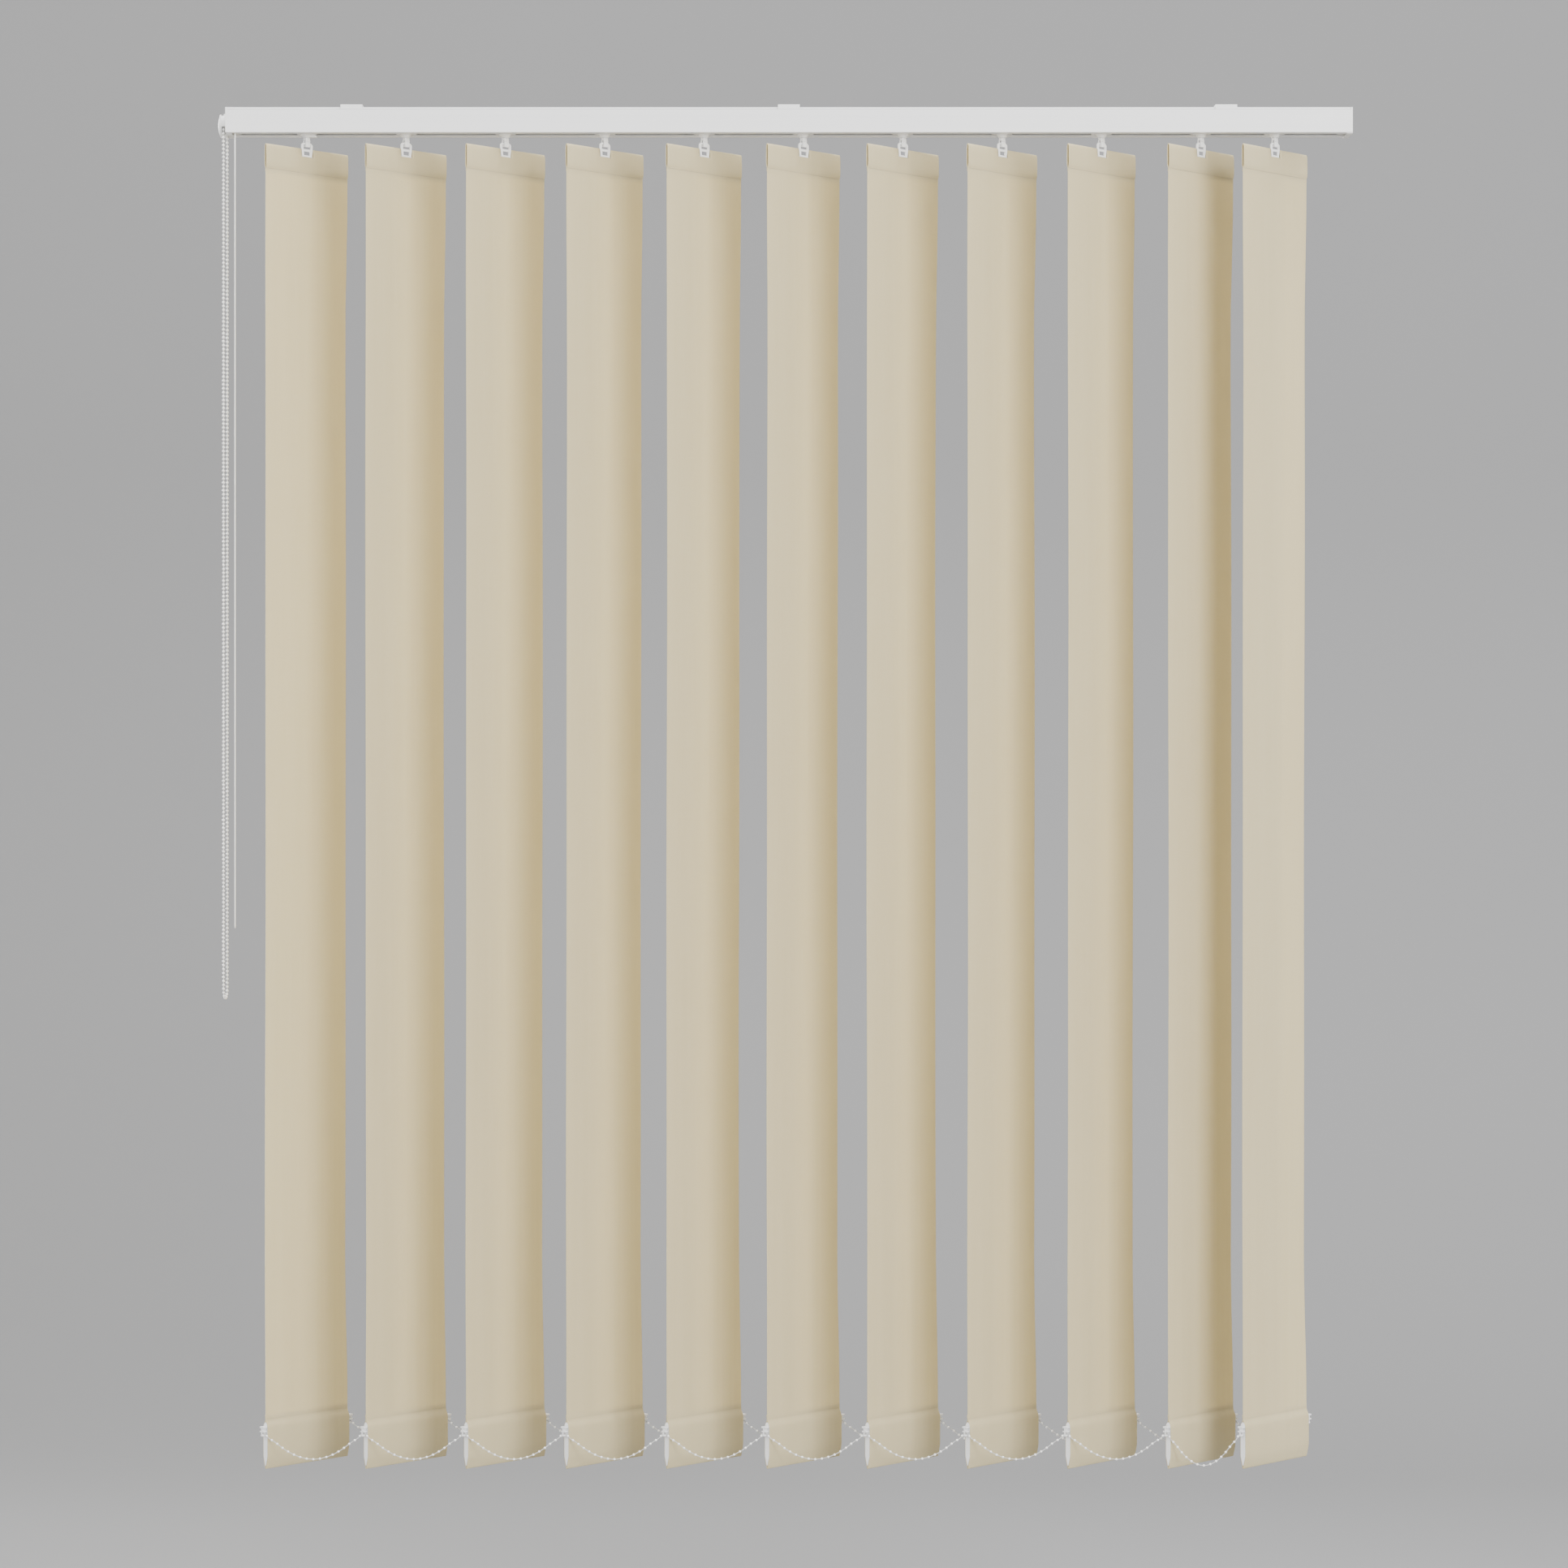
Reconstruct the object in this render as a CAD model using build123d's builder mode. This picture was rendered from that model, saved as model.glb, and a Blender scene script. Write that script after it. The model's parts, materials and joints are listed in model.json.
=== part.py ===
from build123d import *
from math import sin, cos, tan, radians, pi
import os

os.makedirs("parts", exist_ok=True)

# ---------------------------------------------------------------------------
# Vertical blind: eleven fabric louvres hung from trucks in an aluminium
# headrail, linked at the foot by two bead chains, worked by an endless bead
# chain (tilt) and a looped draw cord (traverse) at the left-hand end.
#
# Row frame, millimetres: origin in the middle of the headrail's length, on the
# line of the louvre pivots, in the plane that the brackets are screwed to.
# +X to the right seen from the room, +Y towards the window, +Z up.
# ---------------------------------------------------------------------------

# louvres
count = 11
pitch = 114.0
first_pivot = -553.1
last_pivot = 557.8
chord = 127.0
rest_angle = 49.0          # louvre against the headrail, near edge on the left
louvre_top = -48.5
louvre_bottom = -1555.3

# headrail
rail_left = -642.0
rail_right = 641.9
rail_half = 20.0           # half of the depth
rail_top = -3.0
rail_foot = -32.1
wall = 1.2
slot_half = 8.0            # half of the slot that the trucks hang through
end_left = -644.2          # outside face of the left end cap
end_right = 644.6

# tilt drive
rod_y = 7.0
rod_z = -20.8
rod_r = 2.5
chain_r = 10.74            # fifteen pockets at 4.5 mm
wheel_x = -647.3
bead_d = 3.2
string_d = 1.2
chain_near_x = -648.1
chain_far_x = -646.5
chain_foot = -1022.8       # centre of the chain at the bottom of its loop

# draw cord
cord_d = 1.5
cord_z = -8.0              # height of the cord inside the rail
cord_near = (-633.6, -15.0)
cord_far = (-634.2, -9.0)
cord_back_y = -1.0
cord_foot = -942.0
pulley_x = 620.0
pulley_r = 7.0
pulley_y = (cord_near[1] + cord_back_y) / 2

# chains at the foot of the louvres
link_string_d = 1.0
clip_s = 67.3              # clip centre from the pivot, along the louvre
clip_z = -1514.4
sag = 30.5
last_sag = 37.9

pivots = [first_pivot + pitch * i for i in range(count - 1)] + [last_pivot]


def tag(number):
    return f"{number:02d}"


def save(part, name):
    part.label = name
    export_step(part, f"parts/{name}.step")


def cross_plane(x):
    """A plane square to the headrail: local x is +Y, local y is +Z."""
    return Plane(origin=(x, 0, 0), x_dir=(0, 1, 0), z_dir=(1, 0, 0))


def depth_plane(y):
    """A plane facing the room: local x is +X, local y is +Z, it extrudes towards -Y."""
    return Plane(origin=(0, y, 0), x_dir=(1, 0, 0), z_dir=(0, -1, 0))


def louvre_plane(x, z):
    """Level plane at a pivot: local x runs along the louvre, local y square to it."""
    a = radians(rest_angle)
    return Plane(origin=(x, 0, z), x_dir=(cos(a), sin(a), 0), z_dir=(0, 0, 1))


def louvre_section(x, s):
    """Plane square to the louvre at s along it: local x is its normal, local y is +Z."""
    a = radians(rest_angle)
    return Plane(
        origin=(x + s * cos(a), s * sin(a), 0),
        x_dir=(-sin(a), cos(a), 0),
        z_dir=(cos(a), sin(a), 0),
    )


def louvre_face(x, n):
    """Plane of the louvre's own face at n along its normal: local x runs along it, local y is +Z."""
    a = radians(rest_angle)
    return Plane(
        origin=(x - n * sin(a), n * cos(a), 0),
        x_dir=(cos(a), sin(a), 0),
        z_dir=(sin(a), -cos(a), 0),
    )


def run_length(line):
    return sum(e.length for e in line.edges())


def mirrored(points):
    """Closed outline from its right half, listed from the top down."""
    return points + [(-p[0], p[1]) for p in reversed(points)]


# ---------------------------------------------------------------------------
# Headrail: one extrusion, with a lip along each top edge for the brackets and
# a slot along the underside for the trucks.
# ---------------------------------------------------------------------------
with BuildPart() as headrail:
    with BuildSketch(cross_plane(rail_left)):
        Polygon(
            (-slot_half, rail_foot),
            (-rail_half, rail_foot),
            (-rail_half, -5.7),
            (-17.8, -5.7),
            (-17.8, -4.9),
            (-18.6, -4.9),
            (-18.6, rail_top),
            (18.6, rail_top),
            (18.6, -4.9),
            (17.8, -4.9),
            (17.8, -5.7),
            (rail_half, -5.7),
            (rail_half, rail_foot),
            (slot_half, rail_foot),
            (slot_half, rail_foot + wall),
            (18.8, rail_foot + wall),
            (18.8, -6.9),
            (16.4, -6.9),
            (16.4, -4.2),
            (-16.4, -4.2),
            (-16.4, -6.9),
            (-18.8, -6.9),
            (-18.8, rail_foot + wall),
            (-slot_half, rail_foot + wall),
            align=None,
        )
    extrude(amount=rail_right - rail_left)
    outer = headrail.edges().filter_by(Axis.X).filter_by(
        lambda e: abs(abs(e.center().Y) - rail_half) < 0.01
        and abs(e.center().Z - rail_foot) < 0.01
    )
    fillet(outer, radius=0.9)
    # outlet for the draw cord, open to the slot
    with BuildSketch(Plane.XY.offset(rail_foot - 1)):
        with Locations((-633.8, -12.6)):
            Rectangle(7.0, 9.6)
    extrude(amount=wall + 1.5, mode=Mode.SUBTRACT)
save(headrail.part, "headrail")

# ---------------------------------------------------------------------------
# Control end cap: end flange, front tab in the rail's lip, foot under the rail
# and a cored plug that carries the rod's bearing.
# ---------------------------------------------------------------------------
with BuildPart() as control_end_cap:
    with BuildSketch(cross_plane(end_left)):
        with Locations((0, (rail_top + rail_foot) / 2)):
            RectangleRounded(2 * rail_half, rail_top - rail_foot, 0.9)
    extrude(amount=rail_left - end_left)
    with BuildSketch(cross_plane(end_left)):
        with Locations((4.0, -31.7)):
            Rectangle(32.0, 2.4)
    extrude(amount=rail_left - end_left)
    with BuildSketch(Plane.XY.offset(-32.9)):
        with Locations(((end_left - 637.4) / 2, 4.0)):
            Rectangle(end_left * -1 - 637.4, 32.0)
    extrude(amount=0.8)
    with BuildSketch(cross_plane(rail_left)):
        with Locations((-19.35, -4.35)):
            Rectangle(1.2, 2.4)
    extrude(amount=5.6)
    with BuildSketch(cross_plane(rail_left)):
        with Locations((8.2, -19.6)):
            RectangleRounded(20.4, 21.6, 1.0)
    extrude(amount=13.0)
    # cored pockets round the bearing
    with BuildSketch(cross_plane(rail_left + 1.0)):
        with Locations((8.2, -19.6)):
            Rectangle(17.4, 18.6)
        with Locations((rod_y, rod_z)):
            Circle(5.2, mode=Mode.SUBTRACT)
        with Locations((rod_y, rod_z)):
            Rectangle(40, 1.4, mode=Mode.SUBTRACT)
    extrude(amount=14.0, mode=Mode.SUBTRACT)
    with BuildSketch(cross_plane(end_left - 1)):
        with Locations((rod_y, rod_z)):
            Circle(rod_r + 0.1)
    extrude(amount=20.0, mode=Mode.SUBTRACT)
save(control_end_cap.part, "control_end_cap")

# Guide in the rail's left end that turns both strands of the draw cord down.
with BuildPart() as cord_guide:
    with BuildSketch(Plane.XY.offset(-30.7)):
        with Locations((-632.6, -11.6)):
            Rectangle(14.0, 13.2)
        with Locations(cord_near, cord_far):
            Circle(1.05, mode=Mode.SUBTRACT)
    extrude(amount=1.8)
    for y in (-16.9, -5.0):
        with BuildSketch(depth_plane(y)):
            with BuildLine():
                Polyline(
                    (-639.6, -30.7), (-625.6, -30.7), (-625.6, -14.0),
                    (-627.6, -9.4), (-632.0, -9.4), (-639.6, -24.0), close=True,
                )
            make_face()
        extrude(amount=1.3)
    with BuildSketch(depth_plane(-5.6)):
        with Locations((-629.1, -12.5)):
            Circle(3.65)
            Circle(1.6, mode=Mode.SUBTRACT)
    extrude(amount=12.0)
save(cord_guide.part, "cord_guide")

# ---------------------------------------------------------------------------
# Chain wheel, its domed cover and the cover's screw.
# ---------------------------------------------------------------------------
with BuildPart() as chain_wheel:
    with BuildSketch(Plane(origin=(0, rod_y, rod_z), x_dir=(1, 0, 0), z_dir=(0, -1, 0))):
        with BuildLine():
            Polyline(
                (-650.4, 0), (-650.4, 11.9), (-649.9, 11.9), (-649.8, 10.0),
                (-644.9, 10.0), (-644.8, 11.9), (-644.3, 11.9), (-644.3, 0), close=True,
            )
        make_face()
    revolve(axis=Axis((0, rod_y, rod_z), (1, 0, 0)))
    # bead pockets
    with Locations(
        [
            (
                wheel_x,
                rod_y + chain_r * sin(2 * pi * k / 15),
                rod_z + chain_r * cos(2 * pi * k / 15),
            )
            for k in range(15)
        ]
    ):
        Sphere(1.75, mode=Mode.SUBTRACT)
    # socket for the rod
    with BuildSketch(cross_plane(-649.0)):
        with Locations((rod_y, rod_z)):
            Circle(rod_r)
    extrude(amount=5.0, mode=Mode.SUBTRACT)
    # lightening holes in the outer face
    with BuildSketch(cross_plane(-650.5)):
        with Locations((rod_y, rod_z)):
            with PolarLocations(6.2, 5):
                Circle(1.6)
    extrude(amount=2.0, mode=Mode.SUBTRACT)
save(chain_wheel.part, "chain_wheel")

screw_turn = radians(57.8)
screw_plane = Plane(
    origin=(-649.9, rod_y - 13.7 * cos(screw_turn), rod_z + 13.7 * sin(screw_turn)),
    x_dir=(1, 0, 0),
    z_dir=(0, -cos(screw_turn), sin(screw_turn)),
)
with BuildPart() as control_cover:
    with BuildSketch(Plane(origin=(0, rod_y, rod_z), x_dir=(1, 0, 0), z_dir=(0, -1, 0))):
        with BuildLine():
            Polyline(
                (end_left, 13.7), (-651.6, 13.7), (-653.2, 12.6), (-654.6, 7.0), (-655.2, 2.4),
                (-655.2, 0), (-654.4, 0), (-654.4, 2.3), (-653.8, 6.8), (-652.5, 11.9),
                (-651.3, 12.9), (end_left, 12.9), close=True,
            )
        make_face()
    revolve(axis=Axis((0, rod_y, rod_z), (1, 0, 0)))
    # openings in the rim for the two strands of the chain
    with BuildSketch(Plane.XY.offset(-37)):
        with Locations((-647.6, rod_y - chain_r), (-647.0, rod_y + chain_r)):
            Rectangle(4.6, 5.4)
    extrude(amount=16.0, mode=Mode.SUBTRACT)
    # hole for the cover's screw, square to the rim
    with BuildSketch(screw_plane.offset(-1.5)):
        Circle(0.85)
    extrude(amount=3.0, mode=Mode.SUBTRACT)
save(control_cover.part, "control_cover")

with BuildPart() as cover_screw:
    with BuildSketch(screw_plane.offset(-0.8)):
        Circle(0.82)
    extrude(amount=1.2)
    with BuildSketch(screw_plane.offset(0.3)):
        Circle(1.6)
    extrude(amount=0.8)
    with BuildSketch(screw_plane.offset(0.7)):
        Rectangle(2.0, 0.4)
        Rectangle(0.4, 2.0)
    extrude(amount=0.6, mode=Mode.SUBTRACT)
save(cover_screw.part, "cover_screw")

# ---------------------------------------------------------------------------
# Tilt rod: a fluted bar through every truck.
# ---------------------------------------------------------------------------
with BuildPart() as tilt_rod:
    with BuildSketch(cross_plane(-649.0)):
        with Locations((rod_y, rod_z)):
            Circle(rod_r)
            with PolarLocations(rod_r + 0.15, 4):
                Circle(0.7, mode=Mode.SUBTRACT)
    extrude(amount=649.0 + 638.0)
save(tilt_rod.part, "tilt_rod")

# ---------------------------------------------------------------------------
# Idle end cap: flange, cored plug with the rod's far bearing, and two arms
# that hold the return pulley's pin.
# ---------------------------------------------------------------------------
with BuildPart() as idle_end_cap:
    with BuildSketch(cross_plane(rail_right)):
        with Locations((0, (rail_top + rail_foot) / 2)):
            RectangleRounded(2 * rail_half, rail_top - rail_foot, 0.9)
    extrude(amount=end_right - rail_right)
    # foot under the rail, with a release slot
    with BuildSketch(cross_plane(rail_right)):
        with Locations((0, -31.7)):
            Rectangle(38.0, 2.4)
    extrude(amount=end_right - rail_right)
    with BuildSketch(Plane.XY.offset(-32.9)):
        with Locations(((end_right + 638.0) / 2, 0)):
            Rectangle(end_right - 638.0, 38.0)
        with Locations((638.6, -6.0)):
            Rectangle(3.0, 6.0, mode=Mode.SUBTRACT)
    extrude(amount=0.8)
    with BuildSketch(cross_plane(630.0)):
        with Locations((0, -18.85)):
            RectangleRounded(36.8, 23.3, 1.0)
        with Locations((0, -18.85)):
            Rectangle(33.4, 19.9, mode=Mode.SUBTRACT)
    extrude(amount=rail_right - 630.0)
    with BuildSketch(cross_plane(634.0)):
        with Locations((rod_y, rod_z)):
            Circle(5.0)
    extrude(amount=rail_right - 634.0)
    with BuildSketch(cross_plane(629.0)):
        with Locations((rod_y, rod_z)):
            Circle(rod_r + 0.1)
    extrude(amount=10.0, mode=Mode.SUBTRACT)
    for z in (-5.7, -12.1):
        with BuildSketch(Plane.XY.offset(z)):
            with Locations((628.5, -7.9)):
                RectangleRounded(26.9, 6.0, 2.5)
            with Locations((pulley_x, pulley_y)):
                Circle(1.5, mode=Mode.SUBTRACT)
        extrude(amount=1.3)
    # keying notch in the flange's top corner
    with BuildSketch(cross_plane(rail_right - 0.5)):
        with Locations((-19.4, -4.4)):
            Rectangle(1.3, 2.9)
    extrude(amount=1.6, mode=Mode.SUBTRACT)
save(idle_end_cap.part, "idle_end_cap")

with BuildPart() as idler_pulley:
    with BuildSketch(Plane(origin=(pulley_x, pulley_y, 0), x_dir=(1, 0, 0), z_dir=(0, -1, 0))):
        with BuildLine():
            Polyline(
                (1.6, -10.0), (8.1, -10.0), (8.1, -9.4), (6.1, -8.8), (6.1, -7.2),
                (8.1, -6.6), (8.1, -6.0), (1.6, -6.0), close=True,
            )
        make_face()
    revolve(axis=Axis((pulley_x, pulley_y, 0), (0, 0, 1)))
    with BuildSketch(Plane.XY.offset(-10.5)):
        with Locations((pulley_x, pulley_y)):
            with PolarLocations(3.9, 5):
                Circle(1.0)
    extrude(amount=5.0, mode=Mode.SUBTRACT)
save(idler_pulley.part, "idler_pulley")

with BuildPart() as pulley_pin:
    with BuildSketch(Plane.XY.offset(-12.6)):
        with Locations((pulley_x, pulley_y)):
            Circle(2.4)
    extrude(amount=0.5)
    with BuildSketch(Plane.XY.offset(-12.1)):
        with Locations((pulley_x, pulley_y)):
            Circle(1.5)
    extrude(amount=7.8)
save(pulley_pin.part, "pulley_pin")

# ---------------------------------------------------------------------------
# Fixing brackets: three alike, sprung over the rail's lips.
# ---------------------------------------------------------------------------
with BuildPart() as mounting_brackets:
    for x in (-500.0, 0.0, 500.0):
        with BuildSketch(cross_plane(x - 12.5)):
            with BuildLine():
                Polyline(
                    (-19.9, 0), (19.9, 0), (19.9, -5.6), (17.95, -5.6), (17.95, -4.95),
                    (18.75, -4.95), (18.75, -1.2), (14.5, -1.2), (13.6, -2.95),
                    (10.6, -2.95), (9.7, -1.2), (-9.7, -1.2), (-10.6, -2.95),
                    (-13.6, -2.95), (-14.5, -1.2), (-18.75, -1.2), (-18.75, -4.95),
                    (-17.95, -4.95), (-17.95, -5.6), (-19.9, -5.6), close=True,
                )
            make_face()
        extrude(amount=25.0)
    with BuildSketch(Plane.XY.offset(-4.0)):
        with Locations((-500.0, 0), (0, 0), (500.0, 0)):
            Circle(2.25)
    extrude(amount=5.0, mode=Mode.SUBTRACT)
save(mounting_brackets.part, "mounting_brackets")

# ---------------------------------------------------------------------------
# Trucks. Each node is the housing with its worm and, but for the last one, the
# spacer strip that pulls the next truck along. The strips lie on four levels,
# so that the stacked trucks' strips pass over one another.
# ---------------------------------------------------------------------------
for i, x in enumerate(pivots):
    number = i + 1
    level = -12.9 + 0.85 * (number % 4)
    with BuildPart() as truck:
        # running plate
        with BuildSketch(Plane.XY.offset(-30.75)):
            with Locations((x, 0)):
                RectangleRounded(23.0, 32.0, 1.5)
                with Locations((0, 12.6), (0, -12.6)):
                    Rectangle(11.0, 3.4, mode=Mode.SUBTRACT)
        extrude(amount=2.2)
        # body round the worm and its wheel
        with BuildSketch(Plane.XY.offset(-29.0)):
            with Locations((x, 2.5)):
                RectangleRounded(18.0, 18.6, 1.2)
        extrude(amount=15.8)
        # guide ribs for the spacer strips
        with BuildSketch(Plane.XY.offset(-13.2)):
            with Locations((x, 5.25), (x, -5.25)):
                Rectangle(18.0, 1.1)
        extrude(amount=3.8)
        # neck through the slot
        with BuildSketch(Plane(origin=(x, 0, 0), x_dir=(1, 0, 0), z_dir=(0, -1, 0))):
            with BuildLine():
                Polyline((0, -29.4), (7.7, -29.4), (3.85, -35.5), (0, -35.5), close=True)
            make_face()
        revolve(axis=Axis((x, 0, 0), (0, 0, 1)))
        # chambers and bearings
        with BuildSketch(Plane.XY.offset(-24.5)):
            with Locations((x, 0)):
                Circle(3.8)
        extrude(amount=7.9, mode=Mode.SUBTRACT)
        with BuildSketch(Plane.XY.offset(-17.0)):
            with Locations((x, 0)):
                Circle(1.6)
        extrude(amount=2.3, mode=Mode.SUBTRACT)
        with BuildSketch(Plane.XY.offset(-36.0)):
            with Locations((x, 0)):
                Circle(2.72)
        extrude(amount=12.0, mode=Mode.SUBTRACT)
        with BuildSketch(cross_plane(x - 6.2)):
            with Locations((rod_y, rod_z)):
                Circle(3.6)
        extrude(amount=12.4, mode=Mode.SUBTRACT)
        with BuildSketch(cross_plane(x - 12)):
            with Locations((rod_y, rod_z)):
                Circle(2.9)
        extrude(amount=24.0, mode=Mode.SUBTRACT)
        if number == 1:
            # cord clamp on top and the lead truck's lug below the rail
            with BuildSketch(Plane.XY.offset(-13.3)):
                with Locations((x - 6.0, -0.6)):
                    Rectangle(6.0, 5.0)
            extrude(amount=6.8)
            with BuildSketch(cross_plane(x - 10)):
                with Locations((cord_back_y, cord_z)):
                    Circle(cord_d / 2 + 0.05)
            extrude(amount=8.0, mode=Mode.SUBTRACT)
            with BuildSketch(depth_plane(3.3)):
                with BuildLine():
                    Polyline(
                        (x + 3.2, -30.0), (x + 8.4, -30.0), (x + 12.1, -35.1),
                        (x + 3.4, -35.1), close=True,
                    )
                make_face()
            extrude(amount=6.6)
            with BuildSketch(Plane.XY.offset(-36.0)):
                with Locations((x, 0)):
                    Circle(2.72)
            extrude(amount=8.0, mode=Mode.SUBTRACT)
    with BuildPart() as worm:
        with BuildSketch(Plane(origin=(x, rod_y, rod_z), x_dir=(1, 0, 0), z_dir=(0, -1, 0))):
            with BuildLine():
                teeth = []
                for k in range(7):
                    c = -5.4 + 1.8 * k
                    teeth += [(c - 0.55, 2.95), (c - 0.25, 3.42), (c + 0.25, 3.42), (c + 0.55, 2.95)]
                Polyline([(-6.0, 2.6), (-6.0, 2.95)] + teeth + [(6.0, 2.95), (6.0, 2.6)], close=True)
            make_face()
        revolve(axis=Axis((x, rod_y, rod_z), (1, 0, 0)))
    solids = [truck.part.solid(), worm.part.solid()]
    if number < count:
        gap = pivots[i + 1] - x
        with BuildPart() as strip:
            with BuildSketch(Plane.XY.offset(level)):
                with Locations((x + (gap + 4.0) / 2, 0)):
                    Rectangle(gap + 4.0, 6.4)
                with Locations((x + 3.5, 0)):
                    Rectangle(7.0, 9.4)
                with Locations((x + gap + 2.5, 0)):
                    Rectangle(3.0, 7.6)
                with Locations((x + gap * 0.25, 0), (x + gap * 0.5, 0), (x + gap * 0.75, 0)):
                    SlotOverall(9.0, 2.0, mode=Mode.SUBTRACT)
            extrude(amount=0.5)
        solids.append(strip.part.solid())
    save(Compound(children=solids), f"truck_{tag(number)}")

# ---------------------------------------------------------------------------
# Hangers: the turning stem with its wheel and hook, and the louvre's top bar
# with the ring that the hook carries.
# ---------------------------------------------------------------------------
for i, x in enumerate(pivots):
    number = i + 1
    with BuildPart() as stem:
        with BuildSketch(Plane.XY.offset(-24.3)):
            with Locations((x, 0)):
                Circle(2.75)
                with PolarLocations(2.9, 10):
                    Rectangle(0.9, 0.8)
        extrude(amount=7.2)
        with BuildSketch(Plane.XY.offset(-17.1)):
            with Locations((x, 0)):
                Circle(1.5)
        extrude(amount=2.2)
        with BuildSketch(Plane.XY.offset(-36.4)):
            with Locations((x, 0)):
                Circle(2.65)
        extrude(amount=12.2)
        # stem block
        with BuildSketch(louvre_plane(x, -38.7)):
            RectangleRounded(6.5, 4.8, 0.6)
        extrude(amount=2.9)
        # back finger
        with BuildSketch(louvre_plane(x, -42.9)):
            with Locations((0, 1.65)):
                Rectangle(6.5, 1.5)
        extrude(amount=4.3)
        # front finger and the tongue through the ring
        with BuildSketch(louvre_plane(x, -46.2)):
            with Locations((0, -1.65)):
                Rectangle(6.5, 1.5)
        extrude(amount=7.6)
        with BuildSketch(louvre_section(x, -3.25)):
            with BuildLine():
                Polyline(
                    (-2.4, -43.7), (1.7, -43.7), (1.9, -44.6), (1.1, -45.9),
                    (0.2, -46.2), (-2.4, -46.2), close=True,
                )
            make_face()
        extrude(amount=6.5)
        # groove across the front finger
        with BuildSketch(louvre_section(x, -4)):
            with Locations((-2.4, -40.2)):
                Rectangle(0.7, 0.55)
        extrude(amount=8, mode=Mode.SUBTRACT)
    with BuildPart() as hanger:
        with BuildSketch(louvre_face(x, -0.7)):
            with BuildLine():
                Polyline(
                    (-8.5, -43.6), (-6.4, -41.6), (6.4, -41.6), (8.5, -43.6),
                    (8.5, -50.0), (7.3, -57.4), (-7.3, -57.4), (-8.5, -50.0), close=True,
                )
            make_face()
            with Locations((0, -46.05)):
                Rectangle(11.0, 5.2, mode=Mode.SUBTRACT)
            with Locations((0, -53.45)):
                Trapezoid(9.6, 4.4, 92, mode=Mode.SUBTRACT)
        extrude(amount=-1.4)
        with BuildSketch(louvre_face(x, -0.45)):
            with Locations((0, -63.7)):
                RectangleRounded(122.0, 12.8, 2.0)
            with Locations((-40, -63.7), (-20, -63.7), (20, -63.7), (40, -63.7)):
                SlotOverall(12.0, 4.0, mode=Mode.SUBTRACT)
        extrude(amount=-0.9)
    save(Compound(children=[stem.part.solid(), hanger.part.solid()]), f"hanger_{tag(number)}")

# ---------------------------------------------------------------------------
# Louvres: one cloth each, folded and seamed into a pocket at the top and at
# the foot, both open at their ends, and cut out round the hanger's ring.
# ---------------------------------------------------------------------------
for i, x in enumerate(pivots):
    number = i + 1
    with BuildPart() as louvre:
        with BuildSketch(louvre_section(x, -chord / 2)):
            Polygon(
                *mirrored(
                    [
                        (1.0, louvre_top), (1.25, louvre_top - 0.4), (1.25, -73.6), (0.4, -76.2),
                        (0.4, -1497.6), (3.2, -1503.4), (3.7, -1508.0), (3.7, -1541.2),
                        (0.75, -1554.4), (0.4, louvre_bottom),
                    ]
                ),
                align=None,
            )
            Polygon(
                *mirrored([(0.75, louvre_top - 0.55), (0.75, -73.4), (0.1, -75.2)]),
                align=None,
                mode=Mode.SUBTRACT,
            )
            Polygon(
                *mirrored(
                    [(0.3, -1499.6), (2.7, -1504.2), (3.2, -1508.0), (3.2, -1541.2), (0.3, -1553.6)]
                ),
                align=None,
                mode=Mode.SUBTRACT,
            )
        extrude(amount=chord)
        with BuildSketch(louvre_face(x, -3.0)):
            with Locations((0, -53.0)):
                Rectangle(17.8, 9.6)
        extrude(amount=-6.0, mode=Mode.SUBTRACT)
    save(louvre.part, f"louvre_{tag(number)}")

# ---------------------------------------------------------------------------
# Bottom weights: a lens-shaped bar in the foot pocket, with a clip moulded on
# each end that holds one of the two linking chains.
# ---------------------------------------------------------------------------
for i, x in enumerate(pivots):
    number = i + 1
    with BuildPart() as weight:
        with BuildSketch(louvre_section(x, -63.6)):
            Polygon(
                *mirrored(
                    [(0.8, -1502.5), (2.6, -1505.0), (3.1, -1508.0), (3.1, -1541.0), (0.4, -1551.5)]
                ),
                align=None,
            )
        extrude(amount=127.2)
        for side in (-1, 1):
            with BuildSketch(louvre_face(x, -0.7)):
                with Locations((side * 66.3, -1512.1)):
                    Rectangle(6.8, 11.0)
                with Locations((side * clip_s, clip_z - 0.1)):
                    Rectangle(3.3, 2.2, mode=Mode.SUBTRACT)
            extrude(amount=-1.4)
            for z, high, half_n in ((-1507.5, 1.7, 3.0), (-1512.3, 1.5, 2.8), (-1516.8, 1.6, 1.2)):
                with BuildSketch(louvre_plane(x, z - high / 2)):
                    with Locations((side * 66.9, 0)):
                        Rectangle(5.6, 2 * half_n)
                extrude(amount=high)
    save(weight.part, f"weight_{tag(number)}")

# ---------------------------------------------------------------------------
# Control chain: the string over the wheel, and the two strands and the loop
# at their outside size over the beads.
# ---------------------------------------------------------------------------
near_y = rod_y - chain_r
far_y = rod_y + chain_r
start_z = -25.3
loop_c = chain_foot + chain_r
k = chain_r * tan(radians(22.5))


def chain_x(y):
    """The loop hangs a little turned, so its two strands differ in X."""
    return chain_near_x + (chain_far_x - chain_near_x) * (y - near_y) / (far_y - near_y)


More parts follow.
